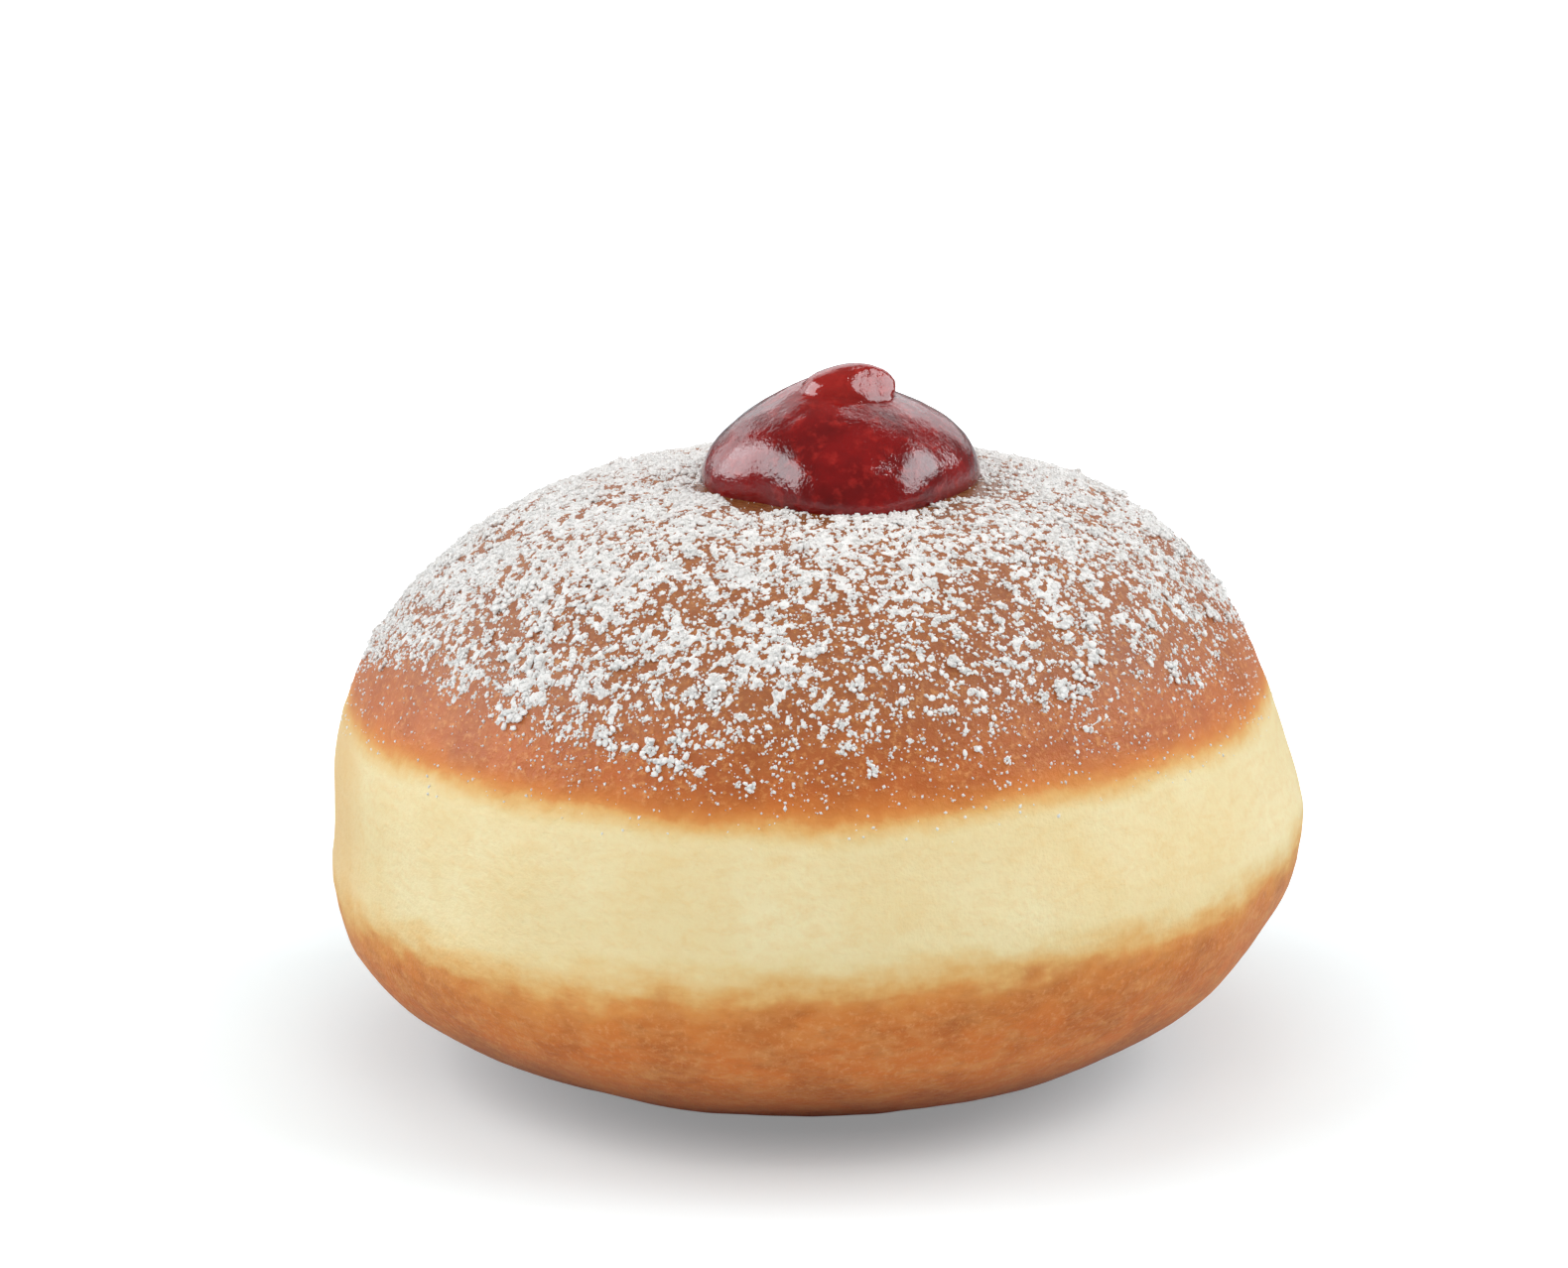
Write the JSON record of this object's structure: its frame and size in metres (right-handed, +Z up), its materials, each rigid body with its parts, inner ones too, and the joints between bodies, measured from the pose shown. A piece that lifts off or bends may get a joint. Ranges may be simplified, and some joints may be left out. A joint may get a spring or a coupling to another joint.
{
  "type": "jelly filled doughnut",
  "caption": "Round fried yeast bun with browned crown and base, a pale collar round its waist, and a glossy jelly dollop with a curled tip on the sugared crown.",
  "frame": {"origin": "on the surface that the bun rests on, under the middle of its width and depth", "axes": "+Z up through the crown, +X to the side that the jelly's tip leans towards, -Y to the front"},
  "size_m": [0.0866, 0.0864, 0.064],
  "materials": {
    "crust": "soft satin fried dough: golden brown crown and base crusts with a pale cream collar between them; food, not plastic",
    "jelly": "wet glossy red fruit jelly, dark in its depth and slightly see-through at its edges; food, not plastic",
    "sugar": "matte white powdered sugar, sifted over the crown in small clumps; food, not plastic"
  },
  "bodies": {
    "root": {"dough": "crust", "jelly": "jelly"}
  },
  "joints": []
}
